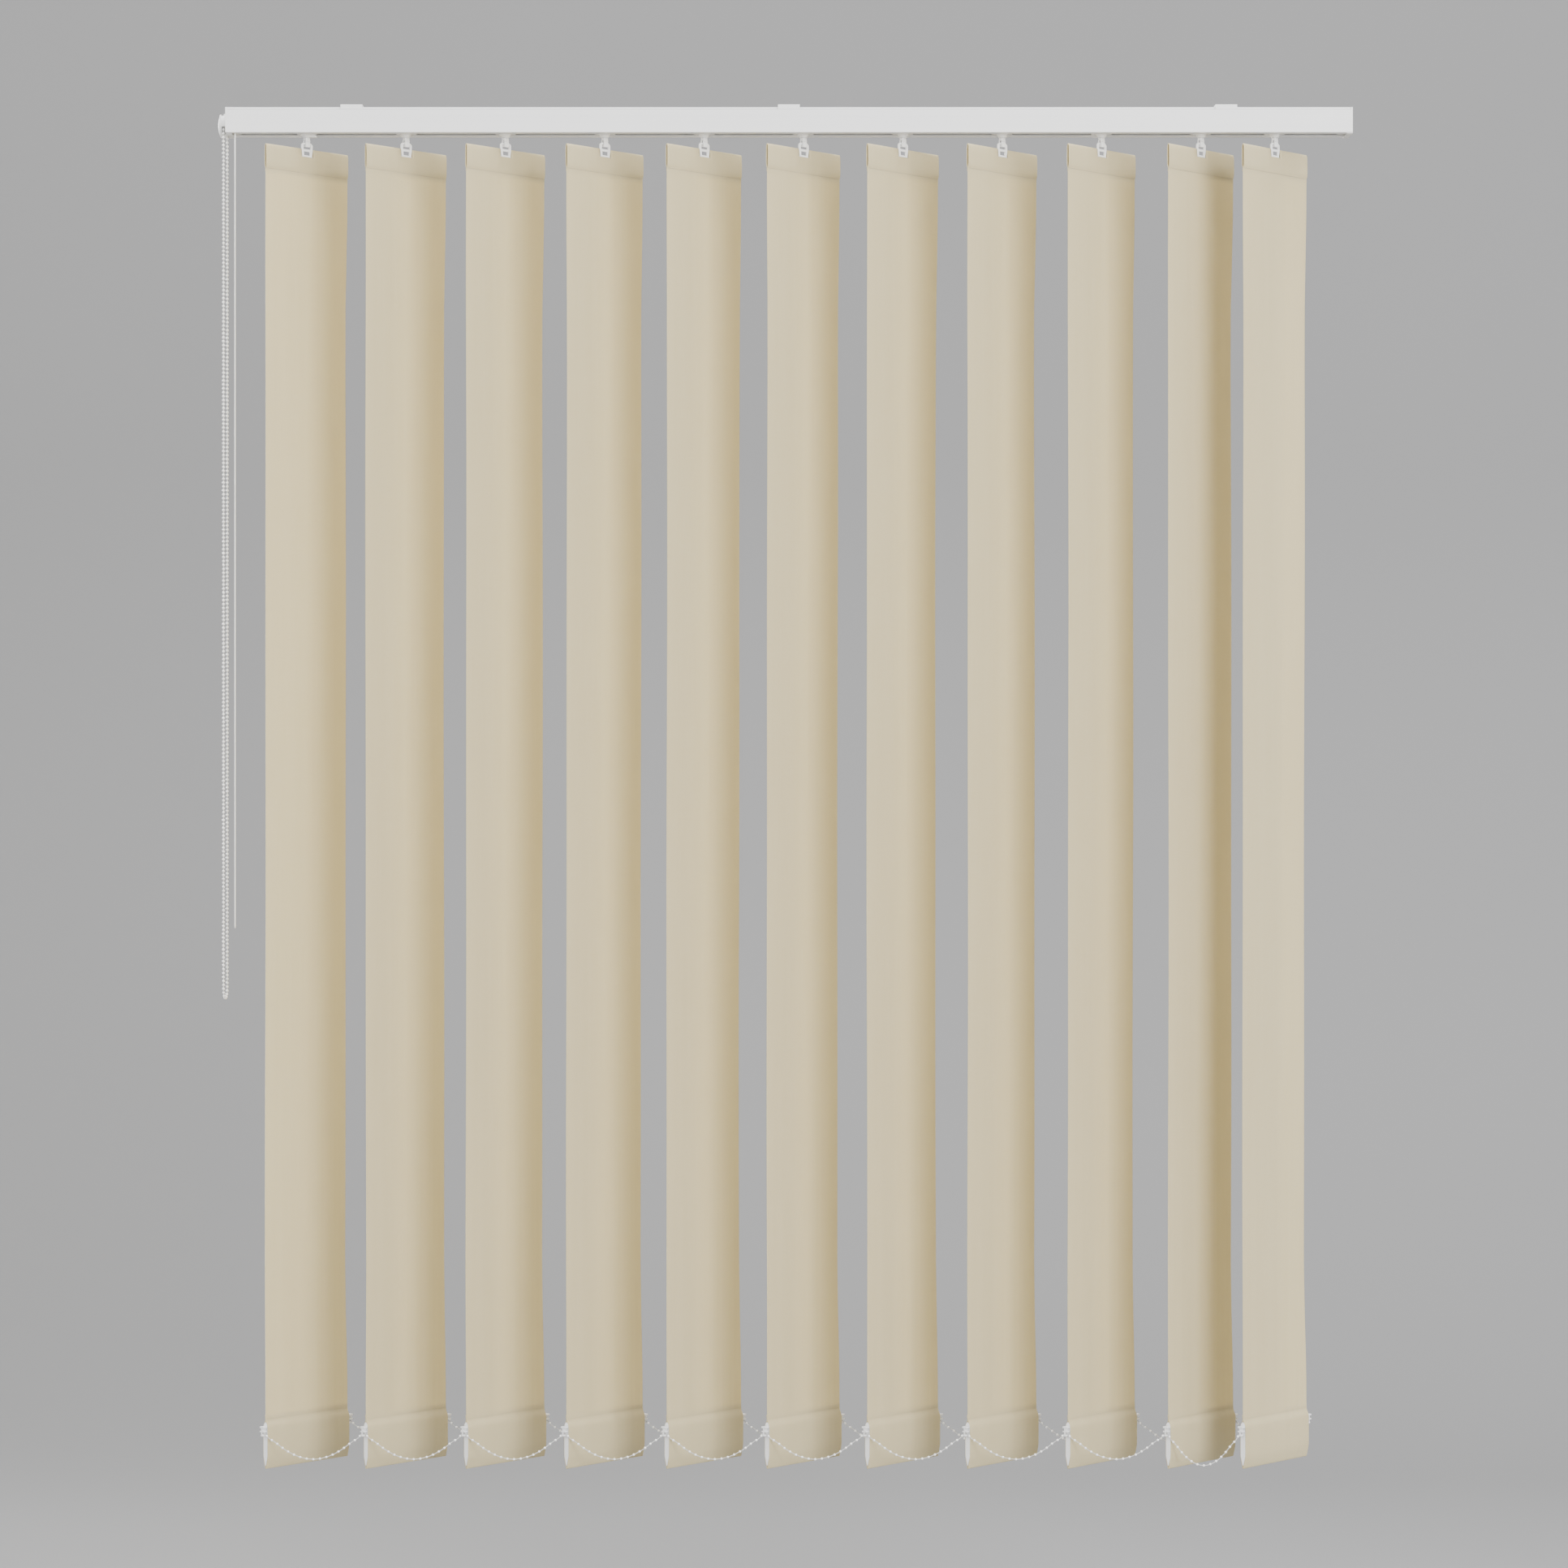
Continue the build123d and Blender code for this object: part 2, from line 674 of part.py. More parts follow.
loop_points = [
    (near_y, start_z),
    (near_y, loop_c - k),
    (rod_y - k, chain_foot),
    (rod_y + k, chain_foot),
    (far_y, loop_c - k),
    (far_y, start_z),
]
loop_radius = 0.45 * 2 * k / tan(radians(22.5))
with BuildPart() as control_chain:
    with BuildLine() as loop_line:
        FilletPolyline(
            *[(chain_x(y), y, z) for y, z in loop_points],
            radius=loop_radius,
        )
    with BuildSketch(Plane(origin=(chain_near_x, near_y, start_z), z_dir=(0, 0, -1))):
        Circle(bead_d / 2)
    sweep()
    with BuildLine() as over_line:
        Line((chain_near_x, near_y, start_z), (chain_near_x, near_y, rod_z))
        ThreePointArc(
            (chain_near_x, near_y, rod_z), (wheel_x, rod_y, rod_z + chain_r), (chain_far_x, far_y, rod_z)
        )
        Line((chain_far_x, far_y, rod_z), (chain_far_x, far_y, start_z))
    with BuildSketch(Plane(origin=(chain_near_x, near_y, start_z), z_dir=(0, 0, 1))):
        Circle(string_d / 2)
    sweep()
print("control chain: loop radius", round(loop_radius, 2), "length of tube", round(run_length(loop_line), 1))
print("control chain: volume", round(control_chain.part.volume, 1),
      "expected", round(run_length(loop_line) * pi * bead_d**2 / 4 + run_length(over_line) * pi * string_d**2 / 4, 1))
save(control_chain.part, "control_chain")

# ---------------------------------------------------------------------------
# Draw cord below the rail, and the traverse cord that it runs on into.
# ---------------------------------------------------------------------------
cord_out = -31.0
cord_r = (cord_far[1] - cord_near[1]) / 2
fold = cord_r * tan(radians(22.5))
cord_c = cord_foot + cord_d / 2 + cord_r
mid_y = (cord_far[1] + cord_near[1]) / 2


def cord_x(y):
    return cord_near[0] + (cord_far[0] - cord_near[0]) * (y - cord_near[1]) / (cord_far[1] - cord_near[1])


fold_radius = 0.45 * 2 * fold / tan(radians(22.5))
with BuildPart() as draw_cord:
    with BuildLine() as draw_line:
        FilletPolyline(
            *[
                (cord_x(y), y, z)
                for y, z in (
                    (cord_near[1], cord_out),
                    (cord_near[1], cord_c - fold),
                    (mid_y - fold, cord_c - cord_r),
                    (mid_y + fold, cord_c - cord_r),
                    (cord_far[1], cord_c - fold),
                    (cord_far[1], cord_out),
                )
            ],
            radius=fold_radius,
        )
    with BuildSketch(Plane(origin=(*cord_near, cord_out), z_dir=(0, 0, -1))):
        Circle(cord_d / 2)
    sweep()
print("draw cord: fold radius", round(fold_radius, 2), "length", round(run_length(draw_line), 1),
      "volume", round(draw_cord.part.volume, 1), "expected", round(run_length(draw_line) * pi * cord_d**2 / 4, 1))
save(draw_cord.part, "draw_cord")

with BuildPart() as traverse_cord:
    with BuildLine() as traverse_line:
        FilletPolyline(
            (*cord_near, cord_out),
            (*cord_near, cord_z),
            (pulley_x + pulley_r, cord_near[1], cord_z),
            (pulley_x + pulley_r, cord_back_y, cord_z),
            (-585.0, cord_back_y, cord_z),
            (-622.0, cord_far[1], cord_z),
            (*cord_far, cord_z),
            (*cord_far, cord_out),
            radius=[4.5, pulley_r - 0.1, pulley_r - 0.1, 60.0, 30.0, 4.5],
        )
    with BuildSketch(Plane(origin=(*cord_near, cord_out), z_dir=(0, 0, 1))):
        Circle(cord_d / 2)
    sweep()
print("traverse cord: length", round(run_length(traverse_line), 1), "volume", round(traverse_cord.part.volume, 1),
      "expected", round(run_length(traverse_line) * pi * cord_d**2 / 4, 1))
save(traverse_cord.part, "traverse_cord")


# ---------------------------------------------------------------------------
# Linking chains: in each gap the string leaves one clip level, hangs in a
# curve and comes level into the next clip.
# ---------------------------------------------------------------------------
def gap_points(width, drop):
    """Points of one gap's curve, from clip centre to clip centre, with z from the clip."""
    a = width / 2 - 2.0
    cuts = [-1.0, -0.9, -0.74, -0.5, -0.2, 0.2, 0.5, 0.74, 0.9, 1.0]
    points = [(0.0, 0.0), (2.0, 0.0)]
    for u, v in zip(cuts, cuts[1:]):
        points.append((width / 2 + a * (u + v) / 2, -drop * (1 - u * v) / 1.04))
    points += [(width - 2.0, 0.0), (width, 0.0)]
    return points


def turn_radii(points):
    radii = []
    for p, q, r in zip(points, points[1:], points[2:]):
        a, b = Vector(*q) - Vector(*p), Vector(*r) - Vector(*q)
        radii.append(0.45 * min(a.length, b.length) / tan(radians(a.get_angle(b) / 2)))
    return radii


a = radians(rest_angle)
for name, side in (("bottom_chain_front", -1), ("bottom_chain_back", 1)):
    solids = []
    total = 0.0
    for i in range(count - 1):
        width = pivots[i + 1] - pivots[i]
        points = gap_points(width, sag if i < count - 2 else last_sag)
        start = (pivots[i] + side * clip_s * cos(a), side * clip_s * sin(a), clip_z)
        route = [(start[0] + dx, start[1], start[2] + dz) for dx, dz in points]
        with BuildPart() as hang:
            with BuildLine() as hang_line:
                FilletPolyline(*route, radius=turn_radii(route))
            with BuildSketch(Plane(origin=start, z_dir=(1, 0, 0))):
                Circle(link_string_d / 2)
            sweep()
        total += run_length(hang_line)
        solids.append(hang.part.solid())
        if i in (0, count - 2) and side < 0:
            print("linking chain gap", i + 1, "radii", [round(r, 1) for r in turn_radii(route)],
                  "length", round(run_length(hang_line), 1), "volume", round(hang.part.volume, 2),
                  "expected", round(run_length(hang_line) * pi * link_string_d**2 / 4, 2))
    print(name, "length", round(total, 1))
    save(Compound(children=solids), name)
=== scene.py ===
import json
import math
import random

import bpy
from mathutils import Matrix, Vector

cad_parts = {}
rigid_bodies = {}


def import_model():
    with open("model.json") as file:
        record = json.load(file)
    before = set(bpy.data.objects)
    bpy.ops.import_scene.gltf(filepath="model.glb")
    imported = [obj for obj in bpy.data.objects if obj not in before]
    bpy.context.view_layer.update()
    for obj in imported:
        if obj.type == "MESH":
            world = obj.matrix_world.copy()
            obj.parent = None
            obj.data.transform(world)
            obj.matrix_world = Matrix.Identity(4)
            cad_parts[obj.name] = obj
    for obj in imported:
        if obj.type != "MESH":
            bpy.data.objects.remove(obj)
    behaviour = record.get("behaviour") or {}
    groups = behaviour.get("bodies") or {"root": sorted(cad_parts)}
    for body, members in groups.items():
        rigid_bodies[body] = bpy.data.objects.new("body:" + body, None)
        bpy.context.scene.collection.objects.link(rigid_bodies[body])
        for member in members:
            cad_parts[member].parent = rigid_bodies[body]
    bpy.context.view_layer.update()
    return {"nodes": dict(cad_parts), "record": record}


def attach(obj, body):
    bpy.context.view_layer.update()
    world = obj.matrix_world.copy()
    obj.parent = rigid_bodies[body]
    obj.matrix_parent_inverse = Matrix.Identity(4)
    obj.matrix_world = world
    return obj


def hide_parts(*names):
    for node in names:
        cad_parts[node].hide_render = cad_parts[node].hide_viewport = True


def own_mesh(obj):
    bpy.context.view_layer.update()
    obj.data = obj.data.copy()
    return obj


for o in list(bpy.data.objects):
    bpy.data.objects.remove(o)

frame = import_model()
nodes = frame["nodes"]
scene = bpy.context.scene
random.seed(7)

# ------------------------------------------------------------------ layout
# The same numbers as the solids have, here in metres.
PIVOTS = [(-553.1 + 114.0 * i) / 1000 for i in range(10)] + [0.5578]
ANGLE = math.radians(49.0)
ALONG = Vector((math.cos(ANGLE), math.sin(ANGLE), 0.0))
ACROSS = Vector((-math.sin(ANGLE), math.cos(ANGLE), 0.0))
HALF = 0.0635


def plan(s):
    """Place across a louvre, in metres from its stem: (along, across)."""
    return s, 0.0


def at(i, s, n, z):
    a, b = plan(s)
    return Vector((PIVOTS[i], 0.0, z)) + ALONG * a + ACROSS * (b + n)


# ------------------------------------------------------------------ camera
lens = bpy.data.cameras.new("camera")
lens.sensor_width = 36.0
lens.lens = 100.9
lens.clip_start, lens.clip_end = 0.1, 60.0
camera = bpy.data.objects.new("camera", lens)
camera.location = (-0.0055, -5.043, -0.7768)
camera.rotation_euler = (math.radians(90.0), 0.0, 0.0)
scene.collection.objects.link(camera)
scene.camera = camera


# ------------------------------------------------------------------ helpers
def link(obj):
    scene.collection.objects.link(obj)
    return obj


def mesh_object(name, verts, faces, smooth=True):
    me = bpy.data.meshes.new(name)
    me.from_pydata([tuple(v) for v in verts], [], faces)
    me.validate()
    me.update()
    if smooth:
        for p in me.polygons:
            p.use_smooth = True
    return link(bpy.data.objects.new(name, me))


def spline_object(name, points, radius, detail=3):
    """A cord: one open smooth spline with a round section."""
    cu = bpy.data.curves.new(name, "CURVE")
    cu.dimensions = "3D"
    sp = cu.splines.new("NURBS")
    sp.points.add(len(points) - 1)
    for p, q in zip(sp.points, points):
        p.co = (q[0], q[1], q[2], 1.0)
    sp.order_u = 3
    sp.use_endpoint_u = True
    sp.resolution_u = 10
    cu.bevel_depth = radius
    cu.bevel_resolution = detail
    return link(bpy.data.objects.new(name, cu))


def centreline(obj):
    """The points of a spline's own line."""
    bare = obj.copy()
    bare.data = obj.data.copy()
    bare.data.bevel_depth = 0.0
    scene.collection.objects.link(bare)
    bpy.context.view_layer.update()
    me = bpy.data.meshes.new_from_object(bare.evaluated_get(bpy.context.evaluated_depsgraph_get()))
    pts = [v.co.copy() for v in me.vertices]
    bpy.data.objects.remove(bare)
    out = [pts[0]]
    for p in pts[1:]:
        if (p - out[-1]).length > 1e-7:
            out.append(p)
    return out


def run_of(points):
    return sum((b - a).length for a, b in zip(points, points[1:]))


def walk(points, start, step, end):
    """(place, direction) every step along a line of points, from start to end."""
    out, done, want = [], 0.0, start
    for a, b in zip(points, points[1:]):
        long = (b - a).length
        while want <= done + long and want <= end + 1e-9:
            out.append((a + (b - a) * ((want - done) / long), (b - a) / long))
            want += step
        done += long
    return out


def tube(points, radius, sides=8):
    """A round tube along points."""
    verts, faces = [], []
    normal = None
    for k, p in enumerate(points):
        d = (points[min(k + 1, len(points) - 1)] - points[max(k - 1, 0)]).normalized()
        if normal is None:
            normal = d.orthogonal().normalized()
        normal = (normal - d * normal.dot(d)).normalized()
        side = d.cross(normal)
        for j in range(sides):
            a = 2 * math.pi * j / sides
            verts.append(p + (normal * math.cos(a) + side * math.sin(a)) * radius)
        if k:
            for j in range(sides):
                b = (j + 1) % sides
                faces.append(((k - 1) * sides + j, (k - 1) * sides + b, k * sides + b, k * sides + j))
    faces.append(tuple(range(sides))[::-1])
    last = (len(points) - 1) * sides
    faces.append(tuple(last + j for j in range(sides)))
    return verts, faces


def ball(centre, along, radius, stretch=1.0, around=14, rings=8):
    """One bead: a ball with its poles on the string."""
    d = along.normalized()
    u = d.orthogonal().normalized()
    v = d.cross(u)
    verts, faces = [centre - d * radius * stretch], []
    for r in range(1, rings):
        t = math.pi * r / rings
        for j in range(around):
            a = 2 * math.pi * j / around
            verts.append(
                centre
                - d * math.cos(t) * radius * stretch
                + (u * math.cos(a) + v * math.sin(a)) * math.sin(t) * radius
            )
    verts.append(centre + d * radius * stretch)
    for j in range(around):
        b = (j + 1) % around
        faces.append((0, 1 + b, 1 + j))
        for r in range(rings - 2):
            p, q = 1 + r * around, 1 + (r + 1) * around
            faces.append((p + j, p + b, q + b, q + j))
        top = 1 + (rings - 2) * around
        faces.append((top + j, top + b, len(verts) - 1))
    return verts, faces


def gather(parts):
    verts, faces = [], []
    for v, f in parts:
        base = len(verts)
        verts += v
        faces += [tuple(base + k for k in face) for face in f]
    return verts, faces


# ------------------------------------------------------------------ cords
CHAIN = [
    (-0.6473, 0.0048, -0.01006),
    (-0.6475, 0.00255, -0.01006),
    (-0.6481, -0.00374, -0.01635),
    (-0.6481, -0.00374, -0.0320),
    (-0.6481, -0.00374, -1.0102),
    (-0.6481, -0.00374, -1.01651),
    (-0.6476, 0.00255, -1.0228),
    (-0.6470, 0.01145, -1.0228),
    (-0.6465, 0.01774, -1.01651),
    (-0.6465, 0.01774, -1.0102),
    (-0.6465, 0.01774, -0.0320),
    (-0.6465, 0.01774, -0.01635),
    (-0.6471, 0.01145, -0.01006),
    (-0.6472, 0.0092, -0.01006),
]
chain_string = spline_object("control_chain_string", CHAIN, 0.0006, 2)
chain_line = centreline(chain_string)
chain_run = run_of(chain_line)
beads = [
    ball(p, d, 0.0016, 1.0)
    for p, d in walk(chain_line, 0.0022, 0.0045, chain_run - 0.001)
]
chain_beads = mesh_object("control_chain_beads", *gather(beads))

DRAW = [
    (-0.6336, -0.0150, -0.0310),
    (-0.6336, -0.0150, -0.0400),
    (-0.6336, -0.0150, -0.93701),
    (-0.6336, -0.0150, -0.93949),
    (-0.6338, -0.01324, -0.94125),
    (-0.6340, -0.01076, -0.94125),
    (-0.6342, -0.0090, -0.93949),
    (-0.6342, -0.0090, -0.93701),
    (-0.6342, -0.0090, -0.0400),
    (-0.6342, -0.0090, -0.0310),
]
draw_cord = spline_object("draw_cord_braid", DRAW, 0.00075, 3)
draw_run = run_of(centreline(draw_cord))

# One gap of a linking chain, from clip to clip: (share of the way, share of the drop).
HANG = [
    (0.0336, 0.1827),
    (0.1044, 0.3212),
    (0.2013, 0.6058),
    (0.3312, 0.8654),
    (0.5000, 1.0000),
    (0.6688, 0.8654),
    (0.7987, 0.6058),
    (0.8956, 0.3212),
    (0.9664, 0.1827),
]
CLIP_S, CLIP_Z = 0.0673, -1.5144


def linking_chain(name, side):
    clips = [at(i, side * CLIP_S, 0.0, CLIP_Z) for i in range(11)]
    points = [clips[0]]
    for i in range(10):
        a, b = clips[i], clips[i + 1]
        drop = 0.0305 if i < 9 else 0.0379
        inner = (b - a).length - 0.004
        points.append(a + Vector((0.002, 0, 0)))
        for share, fall in HANG:
            points.append(a + Vector((0.002 + inner * share, 0, -drop * fall)))
        points.append(b - Vector((0.002, 0, 0)))
    points.append(clips[-1])
    route = spline_object(name + "_route", points, 0.0, 1)
    line = centreline(route)
    bpy.data.objects.remove(route)
    string = mesh_object(name + "_string", *tube(line, 0.00042, 8))
    pearls = []
    # beads of each gap, spaced evenly from clip to clip
    runs, done, cut = [], 0.0, 1
    marks = [0.0]
    for a, b in zip(line, line[1:]):
        done += (b - a).length
        if cut < 11 and b.x >= clips[cut].x - 1e-6:
            marks.append(done)
            cut += 1
    for m0, m1 in zip(marks, marks[1:]):
        n = round((m1 - m0 - 0.0106) / 0.0076)
        step = (m1 - m0 - 0.0106) / n
        pearls += [ball(p, d, 0.0014, 1.0) for p, d in walk(line, m0 + 0.0053, step, m1 - 0.0050)]
    return string, mesh_object(name + "_beads", *gather(pearls)), line, clips


front_string, front_beads, front_line, front_clips = linking_chain("front_chain", -1)
back_string, back_beads, back_line, back_clips = linking_chain("back_chain", 1)


# ------------------------------------------------------------------ cloth
def ramp(x, a, b):
    t = min(1.0, max(0.0, (x - a) / (b - a)))
    return t * t * (3 - 2 * t)


# The cloth's line from the free edge of the top pocket, over the bar, down the
# face and round the weight to the free edge of the foot pocket: (n, z) in mm.
PATH = [
    (0.62, -80.2), (0.55, -78.4), (0.30, -77.0), (0.30, -75.8), (0.62, -74.2), (0.92, -71.8),
    (1.00, -68.0), (1.00, -63.0), (1.00, -59.5), (0.97, -57.8), (0.92, -55.0), (0.80, -51.6),
    (0.55, -49.6), (0.20, -48.75), (-0.20, -48.75), (-0.55, -49.6), (-0.80, -51.6),
    (-0.92, -55.0), (-0.97, -57.8), (-1.00, -59.5), (-1.00, -63.0), (-1.00, -68.0),
    (-0.92, -71.8), (-0.62, -74.2), (-0.30, -75.8), (-0.30, -77.0), (-0.26, -78.4),
    (-0.14, -80.8), (-0.05, -84.0), (0.0, -92.0), (0.0, -104.0), (0.0, -125.0),
    (0.0, -165.0), (0.0, -225.0), (0.0, -300.0), (0.0, -390.0), (0.0, -490.0),
    (0.0, -590.0), (0.0, -690.0), (0.0, -790.0), (0.0, -890.0), (0.0, -990.0),
    (0.0, -1090.0), (0.0, -1180.0), (0.0, -1260.0), (0.0, -1330.0), (0.0, -1390.0),
    (0.0, -1435.0), (0.0, -1465.0), (0.0, -1482.0), (-0.06, -1490.0), (-0.20, -1495.0),
    (-0.30, -1497.9), (-0.30, -1499.4), (-0.75, -1501.4), (-1.80, -1503.6), (-2.90, -1505.9),
    (-3.35, -1509.0), (-3.42, -1514.0), (-3.42, -1523.0), (-3.42, -1533.0), (-3.38, -1540.0),
    (-2.80, -1544.2), (-1.85, -1548.4), (-1.00, -1552.0), (-0.45, -1554.2), (-0.12, -1555.0),
    (0.12, -1555.0), (0.45, -1554.2), (1.00, -1552.0), (1.85, -1548.4), (2.80, -1544.2),
    (3.38, -1540.0), (3.42, -1533.0), (3.42, -1523.0), (3.42, -1514.0), (3.35, -1509.0),
    (2.90, -1505.9), (1.80, -1503.6), (0.75, -1501.4), (0.30, -1499.4), (0.30, -1497.9),
    (0.62, -1496.2), (0.78, -1494.2),
]
CUT = 8.9
SIDES = [-63.5, -62.6, -61.0, -58.5, -55.0, -50.0, -44.0, -38.0, -31.0, -24.0, -17.0, -12.0, -CUT,
         -7.0, 0.0, 7.0, CUT, 12.0, 17.0, 24.0, 31.0, 37.0, 42.0, 47.0, 51.0, 55.0, 58.5, 61.0, 62.6, 63.5]


def louvre(i):
    name = f"louvre_cloth_{i + 1:02d}"
    rng = random.Random(100 + i)
    phase = [rng.uniform(0, 6.28) for _ in range(4)]
    sway = rng.uniform(-0.5, 0.5)
    runs = [0.0]
    for a, b in zip(PATH, PATH[1:]):
        runs.append(runs[-1] + math.hypot(b[0] - a[0], b[1] - a[1]))
    verts, uvs, faces, keep = [], [], [], {}
    for r, (n0, z0) in enumerate(PATH):
        for c, s in enumerate(SIDES):
            n, z = n0, z0
            body = ramp(-z, 95, 260) * ramp(z, -1480, -1330)
            # the far side of the hanging cloth curls away from the room
            n += body * max(0.0, s - 12.0) ** 2 / 900.0
            n += body * (0.55 * math.sin(z / 260.0 + phase[0]) + 0.3 * math.sin(z / 97.0 + s / 55.0 + phase[1]) + sway)
            # the two layers of the pockets gape a little at their ends
            if z > -74.5:
                n += (0.4 if n0 > 0 else -0.4) * ramp(abs(s), 52.0, 63.5) * (1 - ramp(z, -51.5, -48.7)) * (1 if abs(n0) > 0.5 else 0)
            # the seams draw the cloth in
            for seam, width in ((-76.4, 5.0), (-1498.8, 6.0)):
                near = math.exp(-((z - seam) / width) ** 2)
                n += 0.10 * near * math.sin(s * 0.86 + phase[2]) + 0.05 * near * math.sin(s * 1.63 + phase[3])
            verts.append(at(i, s / 1000, n / 1000, z / 1000))
            uvs.append((s / 1000, runs[r] / 1000))
    w = len(SIDES)
    for r in range(len(PATH) - 1):
        for c in range(w - 1):
            if abs(SIDES[c]) <= CUT + 0.01 and abs(SIDES[c + 1]) <= CUT + 0.01:
                if PATH[r][1] >= -57.81 and PATH[r + 1][1] >= -57.81:
                    continue
            faces.append((r * w + c, r * w + c + 1, (r + 1) * w + c + 1, (r + 1) * w + c))
    used = sorted({k for f in faces for k in f})
    new = {k: j for j, k in enumerate(used)}
    obj = mesh_object(name, [verts[k] for k in used], [tuple(new[k] for k in f) for f in faces])
    layer = obj.data.uv_layers.new(name="cloth")
    for loop in obj.data.loops:
        layer.data[loop.index].uv = uvs[used[loop.vertex_index]]
    thick = obj.modifiers.new("thickness", "SOLIDIFY")
    thick.thickness = 0.00046
    thick.offset = 0.0
    return obj


def stitches(i):
    """Two rows of stitching, one on each seam, seen on both faces."""
    rng = random.Random(300 + i)
    parts = []
    for z, out, thick in ((-76.4, 0.54, 0.00019), (-1498.8, 0.50, 0.00011)):
        for face in (-1, 1):
            s = -62.2
            while s < 61.0:
                long = 2.75 + rng.uniform(-0.12, 0.12)
                wob = rng.uniform(-0.12, 0.12)
                a = [at(i, (s + long * t) / 1000, face * (out + lift) / 1000, (z + wob) / 1000)
                     for t, lift in ((0.0, -0.16), (0.18, 0.06), (0.5, 0.12), (0.82, 0.06), (1.0, -0.16))]
                parts.append(tube(a, thick, 6))
                s += 3.1
    return mesh_object(f"louvre_seams_{i + 1:02d}", *gather(parts))


cloths = [louvre(i) for i in range(11)]
seams = [stitches(i) for i in range(11)]


# ------------------------------------------------------------------ materials
def start(name):
    m = bpy.data.materials.new(name)
    m.use_nodes = True
    return m, m.node_tree, m.node_tree.nodes["Principled BSDF"]


def add(t, kind, values=None, **props):
    n = t.nodes.new(kind)
    for k, v in props.items():
        setattr(n, k, v)
    for k, v in (values or {}).items():
        n.inputs[k].default_value = v
    return n


def math_node(t, op, a, b=None, c=None):
    n = t.nodes.new("ShaderNodeMath")
    n.operation = op
    for k, v in enumerate((a, b, c)):
        if v is None:
            continue
        if isinstance(v, (int, float)):
            n.inputs[k].default_value = v
        else:
            t.links.new(v, n.inputs[k])
    return n.outputs[0]


def mixed(t, share, a, b):
    n = t.nodes.new("ShaderNodeMix")
    n.data_type = "RGBA"
    for sock, v in ((0, share), (6, a), (7, b)):
        if isinstance(v, (int, float)):
            n.inputs[sock].default_value = v
        elif isinstance(v, tuple):
            n.inputs[sock].default_value = (*v, 1.0)
        else:
            t.links.new(v, n.inputs[sock])
    return n.outputs[2]


def spread_of(t, source, lo, hi, to_lo, to_hi):
    n = t.nodes.new("ShaderNodeMapRange")
    t.links.new(source, n.inputs[0])
    for k, v in zip((1, 2, 3, 4), (lo, hi, to_lo, to_hi)):
        n.inputs[k].default_value = v
    return n.outputs[0]


def places(t, scale=(1.0, 1.0, 1.0), kind="Object"):
    co = t.nodes.new("ShaderNodeTexCoord")
    mp = t.nodes.new("ShaderNodeMapping")
    mp.inputs["Scale"].default_value = scale
    t.links.new(co.outputs[kind], mp.inputs["Vector"])
    return mp.outputs[0]


def noise(t, where, scale, detail=3.0, rough=0.5):
    n = add(t, "ShaderNodeTexNoise", {"Scale": scale, "Detail": detail, "Roughness": rough})
    t.links.new(where, n.inputs["Vector"])
    return n.outputs[0]


def bump(t, b, heights, last=None):
    """heights: (value, distance in metres, strength) from the coarsest to the finest."""
    for value, distance, strength in heights:
        n = add(t, "ShaderNodeBump", {"Strength": strength, "Distance": distance})
        t.links.new(value, n.inputs["Height"])
        if last is not None:
            t.links.new(last, n.inputs["Normal"])
        last = n.outputs[0]
    t.links.new(last, b.inputs["Normal"])


def edges(t, radius):
    """Softened edges: (normal, how near a rounded edge the point is)."""
    soft = add(t, "ShaderNodeBevel", {"Radius": radius}, samples=4)
    geo = t.nodes.new("ShaderNodeNewGeometry")
    dot = add(t, "ShaderNodeVectorMath", operation="DOT_PRODUCT")
    t.links.new(soft.outputs[0], dot.inputs[0])
    t.links.new(geo.outputs["Normal"], dot.inputs[1])
    return soft.outputs[0], spread_of(t, dot.outputs["Value"], 1.0, 0.86, 0.0, 1.0)


def plastic(name, colour, roughness=0.38, tint=(0.96, 0.95, 0.92), grain=900.0, ior=1.49, coat=0.0):
    """Moulded plastic: faint flow marks, a fine spark-eroded grain, handled patches and painted shade in its recesses.
    """
    m, t, b = start(name)
    where = places(t)
    flow = noise(t, where, 38.0, 4.0, 0.55)
    fine = noise(t, where, grain, 2.0, 0.6)
    soft = noise(t, where, 9.0, 2.0, 0.5)
    # painted shade: the colour darkens to 80% where ambient occlusion finds a recess within 4 mm
    ao = add(t, "ShaderNodeAmbientOcclusion", {"Distance": 0.004}, samples=6)
    shade = spread_of(t, ao.outputs["AO"], 0.25, 1.0, 0.0, 1.0)
    pale = mixed(t, spread_of(t, flow, 0.35, 0.7, 0.0, 0.55), colour, tuple(c * k for c, k in zip(colour, tint)))
    hollow_shaded = mixed(t, shade, tuple(c * 0.80 for c in colour), pale)
    normal, edge = edges(t, 0.00035)
    rubbed = mixed(t, math_node(t, "MULTIPLY", edge, spread_of(t, soft, 0.35, 0.65, 0.1, 0.7)), hollow_shaded,
                   tuple(min(0.93, c * 1.07) for c in colour))
    t.links.new(rubbed, b.inputs["Base Color"])
    rough = math_node(t, "ADD", spread_of(t, soft, 0.3, 0.7, roughness - 0.05, roughness + 0.06),
                      spread_of(t, fine, 0.3, 0.7, -0.02, 0.02))
    t.links.new(rough, b.inputs["Roughness"])
    b.inputs["IOR"].default_value = ior
    b.inputs["Coat Weight"].default_value = coat
    bump(t, b, [(flow, 0.00015, 0.25), (fine, 0.00003, 0.30)], normal)
    return m


